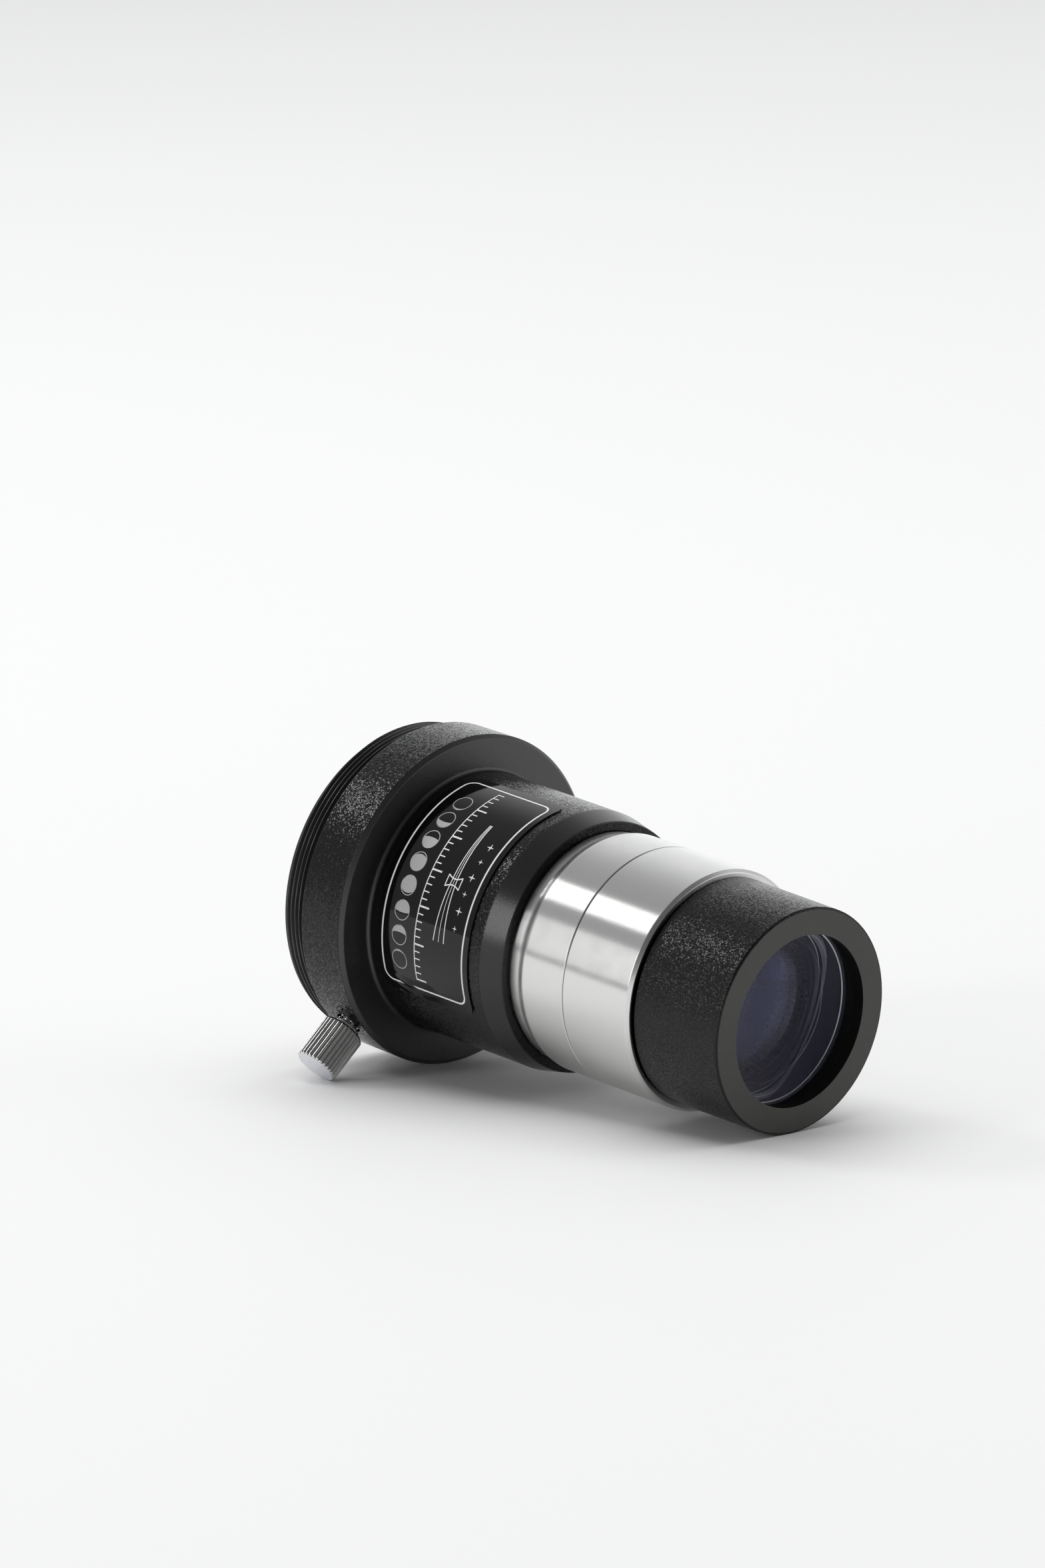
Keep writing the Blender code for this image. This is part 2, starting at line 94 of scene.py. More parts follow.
JOINT_SPIGOT = 14.6
JOINT_LENGTH = 4.0
CELL_REAR_RADIUS = 14.9
CELL_FRONT_RADIUS = 14.8
CELL_ROUND = 0.3
CELL_THREAD_RADIUS = 14.1
CELL_THREAD_PITCH = 0.6
CELL_THREAD_DEPTH = 0.36
CELL_THREAD_REAR = 54.55
CELL_RELIEF = 13.7
CELL_SEAT = 12.3
NOSE_OPENING = 11.25
NOSE_LIP = 1.4
GLASS_RADIUS = 12.0
FRONT_CURVE = 70.0
INNER_CURVE = 45.0
REAR_CURVE = 120.0
NEGATIVE_THICKNESS = 1.8
MENISCUS_THICKNESS = 3.2
BEVEL = 0.15                    # of the glass's ground edges
SPACER_INNER = 11.4
SPACER_THICKNESS = 0.5
RETAINER_INNER = 10.9
RETAINER_LENGTH = 2.0
SLOT_WIDTH = 1.6
SLOT_DEPTH = 0.9
BAFFLE_INNER = 11.3
BAFFLE_RIBS = 60
BAFFLE_RIB_HEIGHT = 0.25
SCREW_HOLE = 1.8
SCREW_THREAD = 1.5
SCREW_PITCH = 0.5
SCREW_THREAD_DEPTH = 0.24
SCREW_COLLAR = 1.95
SCREW_COLLAR_START = 22.5
SCREW_HEAD_START = 23.05
SCREW_END = 29.4
SCREW_HEAD = 2.95
SCREW_CHAMFER = 0.3
SCREW_FLUTES = 30
FLUTE_DEPTH = 0.25
SHANK_END = 17.4
TIP_RADIUS = 1.2
TIP_END = 16.2
TIP_STEM = 0.6
TIP_STEM_TOP = 18.7
LABEL_START = 14.2
LABEL_END = 31.1
LABEL_SPAN = 113.0
LABEL_ELEVATION = 27.0
LABEL_CORNER = 1.5
LABEL_STANDOFF = 0.08
LABEL_THICKNESS = 0.12
CREASE_LENGTH = 3.2
CREASE_WIDTH = 2.4
CREASE_OFFSET = 4.6             # from the label's rear edge
CREASE_HEIGHT = 0.07

# Print on the label, mm: arcs run upwards from the label's middle
BORDER_HALF_ARC = 15.75
BORDER_REAR = 15.3
BORDER_FRONT = 30.1
BORDER_CORNER = 1.35
BORDER_STROKE = 0.26
MOONS = 8
MOON_ARC = -12.2                # of the lowest moon
MOON_STEP = 3.3
MOON_STATION = 18.45
MOON_RADIUS = 1.36
MOON_STROKE = 0.12
SCALE_STATION = 21.3
SCALE_ARC = -14.3               # of the lowest tick
SCALE_TICKS = 30
SCALE_ENDS = (-14.4, 14.8)
SHORT_TICK = 1.0
TALL_TICK = 1.75
RAYS_STATION = 25.65
RAYS_START = -8.0
RAYS_END = 9.0
LENS_HALF_HEIGHT = 1.25
RAYS_AT_START = 0.95            # distance of the two rays from their axis
RAYS_AT_LENS = 0.42
RAYS_AT_END = 0.16
RAY_STROKE = 0.14
AXIS_STROKE = 0.08
LENS_HALF_WAIST = 0.42
LENS_FLARE = 0.4                # by which its half width grows towards its ends
THIN_STROKE = 0.16
TALL_STROKE = 0.24
STARS = 6
STAR_ARC = -5.6                 # of the lowest star
STAR_STEP = 2.3
STAR_STATION = 28.2
LARGE_STAR = 0.62
SMALL_STAR = 0.42
STAR_WAIST = 0.2                # of its size

# Camera: degrees, metres, and millimetres for the lens
CAMERA_AZIMUTH = 46.01
CAMERA_ELEVATION = 10.07
CAMERA_DISTANCE = 1.2774
CAMERA_AIM = Vector((-0.00886, -0.00382, 0.03956))
CAMERA_LENS = 229.6

# Surroundings: brightness, degrees, and metres for the floor and lamp
ROOM = 0.43
BACKDROP = 1.08
BACKDROP_ELEVATION = 5
BACKDROP_FADE = (30, 56)        # from its middle; it is even inside the first angle
BACKDROP_FOOT = 0.35
FOOT_FADE = (4, 26)
DARK_SIDE = 0.3
DARK_PLACE = (70, 45)           # azimuth and elevation
DARK_FADE = (35, 70)
SIDE_FADE = (14, 34)
SIDE_WALL = (136, 14, 0.8)      # azimuth, elevation and brightness of the wall that end faces mirror
UPPER_CARD = ((34.9, 45.2), (-10, -3), 7.5)     # turns, tilts and radiance, see card()
LOWER_CARD = ((9.7, 26.2), (8, 16), 4.0)
FLOOR_LIGHT = 36.0              # watts of the lamp above
FLOOR_REACH = 9.0
LAMP_SIZE = 2.5
LAMP_PLACE = (-0.3, 0.3, 2.0)


# ---------------------------------------------------------------- where the lens lies
def joint(name):
    return next(j for j in frame["joints"] if j["name"] == name)


def lens_place():
    """The lens frame: +X along the optical axis, +Z nearly upright, origin at station 0."""
    along = Vector(joint("cell_turn")["axis"]).normalized()
    across = Vector((0, 0, 1)).cross(along).normalized()
    up = along.cross(across)
    origin = Vector(joint("cell_turn")["pos_m"]) - along * BARREL_END * MM
    return Matrix.Translation(origin) @ Matrix((along, across, up)).transposed().to_4x4()


def screw_place():
    """The screw frame: +X outwards along the thumbscrew, origin on the optical axis."""
    outwards = Vector(joint("screw_turn")["axis"]).normalized()
    across = lens_place().to_3x3() @ Vector((1, 0, 0))
    origin = Vector(joint("screw_turn")["pos_m"])
    turn = Matrix((outwards, across, outwards.cross(across))).transposed()
    return Matrix.Translation(origin) @ turn.to_4x4()


LENS = lens_place()
SCREW = screw_place()


# ---------------------------------------------------------------- node materials
class Nodes:
    """Small helper that adds and links nodes in one material."""

    def __init__(self, name):
        self.material = bpy.data.materials.new(name)
        self.material.use_nodes = True
        self.tree = self.material.node_tree
        self.shader = self.tree.nodes["Principled BSDF"]
        self.output = self.tree.nodes["Material Output"]

    def add(self, kind, inputs=None, **settings):
        node = self.tree.nodes.new(kind)
        for key, value in settings.items():
            setattr(node, key, value)
        for key, value in (inputs or {}).items():
            self.feed(node.inputs[key], value)
        return node

    def feed(self, socket, value):
        if isinstance(value, bpy.types.NodeSocket):
            self.tree.links.new(value, socket)
        else:
            socket.default_value = value

    def set(self, **values):
        """Set the shader's sockets; underscores stand for spaces."""
        for key, value in values.items():
            self.feed(self.shader.inputs[key.replace("_", " ")], value)

    def place(self, along_lens=False):
        """Coordinates on the piece in metres, in the row frame or with X along the optical axis."""
        coordinates = self.add("ShaderNodeTexCoord").outputs["Object"]
        if not along_lens:
            return coordinates
        settings = {"Vector": coordinates, "Location": LENS.translation, "Rotation": LENS.to_euler()}
        return self.add("ShaderNodeMapping", settings, vector_type="TEXTURE").outputs[0]

    def noise(self, scale, detail=2.0, roughness=0.5, stretch=None):
        vector = self.place(along_lens=stretch is not None)
        if stretch:
            vector = self.add("ShaderNodeMapping", {"Vector": vector, "Scale": stretch}).outputs[0]
        settings = {"Vector": vector, "Scale": scale, "Detail": detail, "Roughness": roughness}
        return self.add("ShaderNodeTexNoise", settings).outputs["Fac"]

    def ramp(self, value, low, high, new_low, new_high):
        settings = {0: value, 1: low, 2: high, 3: new_low, 4: new_high}
        return self.add("ShaderNodeMapRange", settings).outputs[0]

    def mix(self, factor, first, second):
        node = self.add("ShaderNodeMix", {0: factor}, data_type="RGBA")
        self.feed(node.inputs[6], first)
        self.feed(node.inputs[7], second)
        return node.outputs[2]

    def bump(self, height, strength, distance, below=None):
        settings = {"Height": height, "Strength": strength, "Distance": distance}
        node = self.add("ShaderNodeBump", settings)
        if below is not None:
            self.feed(node.inputs["Normal"], below)
        return node.outputs["Normal"]

    def vector(self, operation, inputs):
        return self.add("ShaderNodeVectorMath", inputs, operation=operation).outputs[0]

    def facets(self, normal, scale, amount):
        """Tilt the normal by a random amount in every grain of the surface."""
        settings = {"Vector": self.place(), "Scale": scale}
        grains = self.add("ShaderNodeTexVoronoi", settings, feature="F1").outputs["Color"]
        centred = self.vector("SUBTRACT", {0: grains, 1: (0.5, 0.5, 0.5)})
        tilt = self.vector("SCALE", {0: centred, "Scale": amount})
        return self.vector("NORMALIZE", {0: self.vector("ADD", {0: normal, 1: tilt})})

    def math(self, operation, first, second=0.0):
        return self.add("ShaderNodeMath", {0: first, 1: second}, operation=operation).outputs[0]


def grey(value):
    return (value, value, value, 1.0)


def satin_black(name, base, warm, roughness, grain, sparkle, shine, glint=0.0):
    """Black anodising. warm is the blue share of its lighter spots, grain and sparkle are the scale
    and depth of the relief, and glint is how far its grains tilt in highlights."""
    nodes = Nodes(name)
    dim = (base * 0.8, base * 0.8, base * 0.85, 1)
    light = (base * 1.2, base * 1.2, base * warm, 1)
    tone = nodes.mix(nodes.noise(240.0, 3.0), dim, light)
    coarse = nodes.noise(grain, 1.0, 0.5)
    fine = nodes.noise(grain * 2.3, 1.0, 0.5)
    patch = nodes.ramp(fine, 0.35, 0.65, roughness + 0.05, roughness - 0.05)
    relief = nodes.bump(coarse, 1.0, sparkle * MM)
    nodes.set(Base_Color=tone, Roughness=patch, Normal=nodes.facets(relief, GRAINS, glint))
    nodes.set(Specular_IOR_Level=shine)
    return nodes.material


def flat_black(name, base, roughness, shine=0.12):
    """Dull black paint inside the tubes."""
    nodes = Nodes(name)
    cloud = nodes.noise(900.0, 3.0)
    tone = nodes.mix(cloud, grey(base * 0.7), grey(base * 1.3))
    rough = nodes.ramp(cloud, 0.3, 0.7, roughness - 0.06, roughness + 0.06)
    nodes.set(Base_Color=tone, Roughness=rough, Specular_IOR_Level=shine)
    return nodes.material


def turned_silver():
    """Satin chrome on a turned tube: crisp reflections, very fine rings and a faint haze."""
    nodes = Nodes("turned_silver")
    rings = nodes.noise(90.0, 3.0, 0.7, (220.0, 1.0, 1.0))
    haze = nodes.noise(420.0, 4.0, 0.6)
    tone = nodes.mix(haze, (0.72, 0.72, 0.705, 1), (0.77, 0.77, 0.76, 1))
    rough = nodes.ramp(haze, 0.3, 0.7, 0.23, 0.27)
    relief = nodes.bump(rings, 0.06, 0.00001)
    relief = nodes.bump(nodes.noise(3200.0, 2.0), 0.05, 0.00001, relief)
    nodes.set(Base_Color=tone, Roughness=rough, Normal=relief, Metallic=1.0, Anisotropic=0.95)
    nodes.set(Tangent=nodes.add("ShaderNodeTangent", direction_type="UV_MAP").outputs[0])
    return nodes.material


def bright_chrome(name, tone, low, high):
    """Plated or bare metal whose roughness wanders between two values."""
    nodes = Nodes(name)
    smear = nodes.noise(700.0, 3.0)
    nodes.set(Base_Color=tone, Roughness=nodes.ramp(smear, 0.3, 0.7, low, high), Metallic=1.0)
    return nodes.material


def coated_glass(name, tint):
    """Clear glass whose coating reflects a blue-violet.

    Shadow rays, diffuse rays and rays from rough surfaces pass straight through it, so that light
    reaches the tubes and rings behind it.
    """
    nodes = Nodes(name)
    nodes.set(Base_Color=(0.84, 0.86, 0.96, 1), IOR=1.52, Transmission_Weight=1.0)
    nodes.set(Specular_Tint=tint, Roughness=0.0)
    clear = nodes.add("ShaderNodeBsdfTransparent").outputs[0]
    path = nodes.add("ShaderNodeLightPath").outputs
    rough = nodes.math("SUBTRACT", path["Is Glossy Ray"], path["Is Singular Ray"])
    soft = nodes.math("MAXIMUM", path["Is Diffuse Ray"], rough)
    soft = nodes.math("MAXIMUM", path["Is Shadow Ray"], soft)
    shaders = {0: soft, 1: nodes.shader.outputs[0], 2: clear}
    through = nodes.add("ShaderNodeMixShader", shaders).outputs[0]
    nodes.tree.links.new(through, nodes.output.inputs["Surface"])
    return nodes.material


def label_gloss():
    """Glossy black sticker film."""
    nodes = Nodes("label_gloss")
    ripple = nodes.noise(150.0, 2.0)
    nodes.set(Base_Color=grey(0.002), Roughness=nodes.ramp(nodes.noise(500.0), 0.3, 0.7, 0.04, 0.08))
    nodes.set(Normal=nodes.bump(ripple, 0.12, 0.00004), Specular_IOR_Level=0.36)
    return nodes.material


def print_ink(name, value):
    """Matt white or grey, finely speckled."""
    nodes = Nodes(name)
    speck = nodes.noise(4000.0, 2.0)
    nodes.set(Base_Color=nodes.mix(speck, grey(value * 0.92), grey(value * 1.05)), Roughness=0.3)
    return nodes.material


def plain_nylon():
    """Ivory plastic that light enters a little."""
    nodes = Nodes("nylon")
    nodes.set(Base_Color=nodes.mix(nodes.noise(1500.0), (0.66, 0.65, 0.60, 1), (0.76, 0.75, 0.71, 1)))
    nodes.set(Roughness=0.5, Subsurface_Weight=0.2, Subsurface_Radius=(0.0006, 0.0005, 0.0004))
    return nodes.material


# ---------------------------------------------------------------- meshes
def softened(section):
    """Round each corner of a closed section of (station, radius, rounding) and add support rows."""
    rows = []
    count = len(section)
    for index, (station, radius, rounding) in enumerate(section):
        corner = Vector((station, radius))
        before = Vector(section[index - 1][:2]) - corner
        after = Vector(section[(index + 1) % count][:2]) - corner
        cut = min(rounding, before.length * 0.45, after.length * 0.45)
        if cut < 1e-4:
            rows.append(corner)
            continue
        start = corner + before.normalized() * cut
        end = corner + after.normalized() * cut
        if before.length > 4 * (cut + SUPPORT):
            rows.append(start + before.normalized() * SUPPORT)
        for step in range(ROUND_STEPS + 1):
            t = step / ROUND_STEPS
            rows.append(start * (1 - t) ** 2 + corner * 2 * t * (1 - t) + end * t ** 2)
        if after.length > 4 * (cut + SUPPORT):
            rows.append(end + after.normalized() * SUPPORT)
    return [(row.x, row.y) for row in rows]


def thread_rows(start, end, crest, root, pitch, fade_start, fade_end):
    """Rows of a right-hand thread: each is a station and a function from angle to radius."""
    rows = []
    step = pitch / THREAD_ROWS
    for index in range(int((end - start) / step) + 1):
        station = start + index * step
        height = min(1.0, (station - start + 0.02) / fade_start, (end - station + 0.02) / fade_end)

        def radius(angles, station=station, height=height):
            phase = (station / pitch - angles / (2 * math.pi)) % 1.0
            tooth = np.clip(0.5 + TOOTH_SLOPE * (0.25 - np.abs(phase - 0.5)), 0.0, 1.0)
            return root + (crest - root) * tooth * height

        rows.append((station, radius))
    return rows


def spun_mesh(name, rows, sides, closed=True, reshape=None):
    """A mesh from rows of (station, radius or function of angle), spun about X from straight down."""
    angles = np.arange(sides) * 2 * math.pi / sides
    points = np.zeros((len(rows), sides, 3))
    for index, (station, radius) in enumerate(rows):
        radii = radius(angles) if callable(radius) else np.full(sides, radius)
        if reshape is not None:
            radii = reshape(station, radii, angles)
        points[index, :, 0] = station
        points[index, :, 1] = radii * np.sin(angles)
        points[index, :, 2] = -radii * np.cos(angles)
    faces = []
    last = len(rows) if closed else len(rows) - 1
    for row in range(last):
        below, above = row * sides, ((row + 1) % len(rows)) * sides
        for side in range(sides):
            following = (side + 1) % sides
            faces.append((below + side, below + following, above + following, above + side))
    mesh = bpy.data.meshes.new(name)
    mesh.from_pydata((points.reshape(-1, 3) * MM).tolist(), [], faces)
    uv = mesh.uv_layers.new(name="turned")
    corners = np.array(faces)
    around = np.tile(np.array([0, 1, 1, 0]), (len(faces), 1)) + (corners[:, :1] % sides)
    across = points.reshape(-1, 3)[corners, 0] / LENGTH
    uv.data.foreach_set("uv", np.stack([across, around / sides], axis=-1).ravel())
    return mesh


def clean(mesh, sharp=SHARP):
    """Merge the points on the axis, turn all faces outwards and shade the mesh smooth."""
    bm = bmesh.new()
    bm.from_mesh(mesh)
    bmesh.ops.remove_doubles(bm, verts=bm.verts, dist=1e-8)
    bmesh.ops.recalc_face_normals(bm, faces=bm.faces)
    bm.to_mesh(mesh)
    bm.free()
    mesh.shade_smooth()
    mesh.set_sharp_from_angle(angle=math.radians(sharp))


def make_piece(name, mesh, place, materials, body, stands_for=(), paint=None):
    """Put a mesh in place, dress it, and let it ride on a body."""
    mesh.transform(place)
    piece = bpy.data.objects.new(name, mesh)
    bpy.context.scene.collection.objects.link(piece)
    for material in materials:
        mesh.materials.append(material)
    if paint is not None:
        back = place.inverted()
        for face in mesh.polygons:
            face.material_index = paint(back @ face.center / MM)
    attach(piece, body)
    if stands_for:
        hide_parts(*stands_for)
    return piece


def cut_with(piece, cutter_mesh, place):
    """Subtract a closed mesh from a piece and keep the result as the piece's own mesh."""
    cutter = bpy.data.objects.new("cutter", cutter_mesh)
    bpy.context.scene.collection.objects.link(cutter)
    cutter.matrix_world = place
    modifier = piece.modifiers.new("cut", "BOOLEAN")
    modifier.operation = "DIFFERENCE"
    modifier.solver = "EXACT"
    modifier.object = cutter
    bpy.context.view_layer.update()
    result = piece.evaluated_get(bpy.context.evaluated_depsgraph_get())
    mesh = bpy.data.meshes.new_from_object(result)
    piece.modifiers.clear()
    piece.data = mesh
    bpy.data.objects.remove(cutter)
    mesh.shade_smooth()
    mesh.set_sharp_from_angle(angle=math.radians(SHARP))


# ---------------------------------------------------------------- adapter body and barrel
def adapter_finish(centre):
    """The finish of the adapter body at a point: 0 blasted, 1 socket, 2 turned face, 3 cone."""
    radius = math.hypot(centre.y, centre.z)
    if radius < SOCKET_RADIUS + 0.1 and centre.x < SOCKET_FLOOR + 2:
        return 1
    if centre.x < FLANGE_REAR - 0.05:
        return 2
    if FLANGE_FRONT - FLANGE_CHAMFER < centre.x < FLANGE_FRONT + BODY_FILLET:
        return 2
    if centre.x > TAPER_START and radius > BODY_FRONT_RADIUS - 0.2:
        return 3
    return 0


def make_adapter_body(black, face_black, socket_black, cone_black):
    """Camera thread, flange with the thumbscrew's hole, label cylinder, cone and eyepiece socket."""
    outline = [
        (THREAD_END, RELIEF_RADIUS, 0.05), (FLANGE_REAR + UNDERCUT_DEPTH, RELIEF_RADIUS, 0.05),
        (FLANGE_REAR + UNDERCUT_DEPTH, UNDERCUT_RADIUS, 0.02), (FLANGE_REAR, UNDERCUT_RADIUS, 0.02),
        (FLANGE_REAR, FLANGE_REAR_RADIUS, 0.14), (FLANGE_FRONT - FLANGE_CHAMFER, FLANGE_RADIUS, 0.12),
        (FLANGE_FRONT, FLANGE_RADIUS - FLANGE_CHAMFER, 0.12), (FLANGE_FRONT, BODY_RADIUS, BODY_FILLET),
        (TAPER_START, BODY_RADIUS, 0.25), (BODY_FRONT, BODY_FRONT_RADIUS, 0.12),
        (BODY_FRONT, SPIGOT_RADIUS + GAP, 0.06), (SOCKET_FLOOR + 0.5, SPIGOT_RADIUS + GAP, 0.05),
        (SOCKET_FLOOR, SOCKET_RADIUS, 0.05), (0.0, SOCKET_RADIUS, 0.3),
        (0.0, THREAD_ROOT - 0.1, 0.08),
    ]
    rows = softened(outline)
    rows += thread_rows(0.12, THREAD_END - 0.1, THREAD_CREST, THREAD_ROOT, THREAD_PITCH, 0.5, 0.35)
    mesh = spun_mesh("adapter_body_shell", rows, SIDES)
    clean(mesh)
    piece = make_piece("adapter_body_shell", mesh, LENS, [black, socket_black, face_black, cone_black],
                       "adapter", ["adapter_body"])
    hole = [(SOCKET_RADIUS - 2, 0.0), (SOCKET_RADIUS - 2, SCREW_HOLE),
            (FLANGE_RADIUS + 1, SCREW_HOLE), (FLANGE_RADIUS + 1, 0.0)]
    drill = spun_mesh("drill", hole, 64, closed=False)
    clean(drill)
    cut_with(piece, drill, SCREW)
    back = LENS.inverted()
    for face in piece.data.polygons:
        face.material_index = adapter_finish(back @ face.center / MM)


def make_barrel(silver, bore_black):
    """The two silver sections, with a fine groove where they meet, blackened inside."""
    def paint(centre):
        return 1 if math.hypot(centre.y, centre.z) < BARREL_BORE + 0.06 else 0

    rear = SOCKET_FLOOR + GAP
    counterbore = JOINT_SPIGOT + GAP
    floor = BARREL_SEAM - JOINT_LENGTH - GAP
    seam = BARREL_SEAM - SEAM_HALF
    outline = [
        (rear, BARREL_BORE, 0.1), (rear, SPIGOT_RADIUS, 0.3), (BODY_FRONT + GAP, SPIGOT_RADIUS, 0.02),
        (BODY_FRONT + GAP, NECK_RADIUS, 0.05), (NECK_END, NECK_RADIUS, 0.35),
        (SHOULDER_END, BARREL_RADIUS, 0.35), (seam - SEAM_DEPTH, BARREL_RADIUS, 0.05),
        (seam, BARREL_RADIUS - SEAM_DEPTH, 0.02), (seam, counterbore, 0.05), (floor, counterbore, 0.05),
        (floor, BARREL_BORE, 0.1),
    ]
    mesh = spun_mesh("rear_barrel_tube", softened(outline), SIDES)
    clean(mesh)
    make_piece("rear_barrel_tube", mesh, LENS, [silver, bore_black], "adapter",
               ["barrel_rear_section"], paint)
    cell_bore = CELL_THREAD_RADIUS + GAP
    bore_floor = CELL_THREAD_REAR - 1.5
    seam = BARREL_SEAM + SEAM_HALF
    outline = [
        (BARREL_SEAM - JOINT_LENGTH, BARREL_BORE, 0.1), (BARREL_SEAM - JOINT_LENGTH, JOINT_SPIGOT, 0.2),
        (seam, JOINT_SPIGOT, 0.03), (seam, BARREL_RADIUS - SEAM_DEPTH, 0.02),
        (seam + SEAM_DEPTH, BARREL_RADIUS, 0.05), (BARREL_END - BARREL_CHAMFER, BARREL_RADIUS, 0.1),
        (BARREL_END, BARREL_RADIUS - BARREL_CHAMFER, 0.08), (BARREL_END, cell_bore, 0.06),
        (bore_floor, cell_bore, 0.06), (bore_floor, BARREL_BORE, 0.1),
    ]
    mesh = spun_mesh("front_barrel_tube", softened(outline), SIDES)
    clean(mesh)
    make_piece("front_barrel_tube", mesh, LENS, [silver, bore_black], "adapter",
               ["barrel_front_section"], paint)


# ---------------------------------------------------------------- label
def on_body(arc, station, height=0.0):
    """A point on the label's cylinder; arc is in millimetres upwards from the label's middle."""
    radius = BODY_RADIUS + LABEL_STANDOFF + LABEL_THICKNESS
    angle = math.radians(LABEL_ELEVATION) + arc / radius
    radius += height
    return (station * MM, -radius * math.cos(angle) * MM, radius * math.sin(angle) * MM)


def crease(arc, station, half_arc):
    """Height of the small creases where the sticker has lifted at its lower rear corner."""
    along = (arc + half_arc) / CREASE_LENGTH
    across = (station - LABEL_START - CREASE_OFFSET) / CREASE_WIDTH
    envelope = math.exp(-along * along * 2.2 - across * across)
    return CREASE_HEIGHT * envelope * math.sin(9.0 * along + 1.6 * across) ** 2


def make_label(gloss):
    """The sticker: a thin shell on the cylinder, its rows closer together towards its edges."""
    radius = BODY_RADIUS + LABEL_STANDOFF + LABEL_THICKNESS
    half_arc = math.radians(LABEL_SPAN) * radius / 2
    columns, lines = 160, 60
    top, under = [], []
    for column in range(columns + 1):
        arc = -half_arc * math.cos(math.pi * column / columns)
        past = max(0.0, abs(arc) - (half_arc - LABEL_CORNER))
        inset = LABEL_CORNER - math.sqrt(max(0.0, LABEL_CORNER ** 2 - past ** 2))
        low, high = LABEL_START + inset, LABEL_END - inset
        top.append([])
        under.append([])
        for line in range(lines + 1):
            station = low + (high - low) * (1 - math.cos(math.pi * line / lines)) / 2
            top[-1].append(on_body(arc, station, crease(arc, station, half_arc)))
            under[-1].append(on_body(arc, station, -LABEL_THICKNESS))
    bm = bmesh.new()
    upper = [[bm.verts.new(point) for point in row] for row in top]
    lower = [[bm.verts.new(point) for point in row] for row in under]
    for column in range(columns):
        for line in range(lines):
            for grid in (upper, lower):
                bm.faces.new((grid[column][line], grid[column][line + 1],
                              grid[column + 1][line + 1], grid[column + 1][line]))
        for line in (0, lines):
            bm.faces.new((upper[column][line], upper[column + 1][line],
                          lower[column + 1][line], lower[column][line]))
    for column in (0, columns):
        for line in range(lines):
            bm.faces.new((upper[column][line], upper[column][line + 1],
                          lower[column][line + 1], lower[column][line]))
    mesh = bpy.data.meshes.new("label_sticker")
    bm.to_mesh(mesh)
    bm.free()
    clean(mesh, 50.0)
    make_piece("label_sticker", mesh, LENS, [gloss], "adapter", ["body_label"])


class Print:
    """Flat printed shapes that lie on the label, gathered into one mesh."""

    HEIGHT = 0.015

    def __init__(self):
        self.bm = bmesh.new()

    def strip(self, left, right):
        """A ribbon between two lists of (arc, station) points."""
        near, far = [[self.bm.verts.new(on_body(arc, station, self.HEIGHT)) for arc, station in rail]
                     for rail in (left, right)]
        for index in range(len(left) - 1):
            self.bm.faces.new((near[index], near[index + 1], far[index + 1], far[index]))

    def line(self, start, end, width):
        """A straight stroke, split so that it follows the cylinder."""
        start, end = Vector(start), Vector(end)
        side = (end - start).orthogonal().normalized() * width / 2
        steps = max(1, int((end - start).length / 0.6))
        spine = [start.lerp(end, step / steps) for step in range(steps + 1)]
        self.strip([tuple(p + side) for p in spine], [tuple(p - side) for p in spine])

    def path(self, points, width):
        """A stroke of even width along a polyline."""
        points = [Vector(p) for p in points]
        left, right = [], []
        for index, point in enumerate(points):
            ahead = points[min(index + 1, len(points) - 1)] - points[max(index - 1, 0)]
            side = ahead.orthogonal().normalized() * width / 2
            left.append(tuple(point + side))
            right.append(tuple(point - side))
        self.strip(left, right)

    def moon(self, centre, radius, phase):
        """A moon's lit part and thin outline; phase runs from 0, new, over 1, full, to 2, new."""
        waning = phase > 1
        lit = 2 - phase if waning else phase
        bands = 8
        rails = [[] for _ in range(bands + 1)]
        for along in -radius * np.cos(np.linspace(0, math.pi, 25)):
            half = math.sqrt(max(0.0, radius * radius - along * along))
            limb, terminator = half, half * (1 - 2 * lit)
            for band, rail in enumerate(rails):
                reach = limb + (terminator - limb) * band / bands
                rail.append((centre[0] + (-reach if waning else reach), centre[1] + along))
        for left, right in zip(rails, rails[1:]):
            self.strip(left, right)
        middle = radius - MOON_STROKE / 2
        self.path([(centre[0] + middle * math.cos(turn), centre[1] + middle * math.sin(turn))
                   for turn in np.linspace(0, 2 * math.pi, 49)], MOON_STROKE)

    def piece(self, name, ink):
        """Turn every face away from the axis and make the piece."""
        mesh = bpy.data.meshes.new(name)
        for face in self.bm.faces:
            face.normal_update()
            centre = face.calc_center_median()
            if face.normal.dot(Vector((0, centre.y, centre.z))) < 0:
                face.normal_flip()
        self.bm.to_mesh(mesh)
        self.bm.free()
        mesh.shade_smooth()
        return make_piece(name, mesh, LENS, [ink], "adapter")


def rounded_frame(half_arc, low, high, corner):
    """Points round a rectangle with rounded corners, closed, about 0.5 mm apart."""
    centres = [(half_arc - corner, high - corner, 0), (-half_arc + corner, high - corner, 90),
               (-half_arc + corner, low + corner, 180), (half_arc - corner, low + corner, 270)]
    points = []
    for index, (arc, station, start) in enumerate(centres):
        for step in range(13):
            angle = math.radians(start + 90 * step / 12)
            points.append((arc + corner * math.cos(angle), station + corner * math.sin(angle)))
        following = centres[(index + 1) % 4]
        angle = math.radians(following[2])
        target = Vector((following[0] + corner * math.cos(angle),
                         following[1] + corner * math.sin(angle)))
        here = Vector(points[-1])
        steps = int((target - here).length / 0.5)
        points += [tuple(here.lerp(target, step / steps)) for step in range(1, steps)]
    points.append(points[0])
    return points


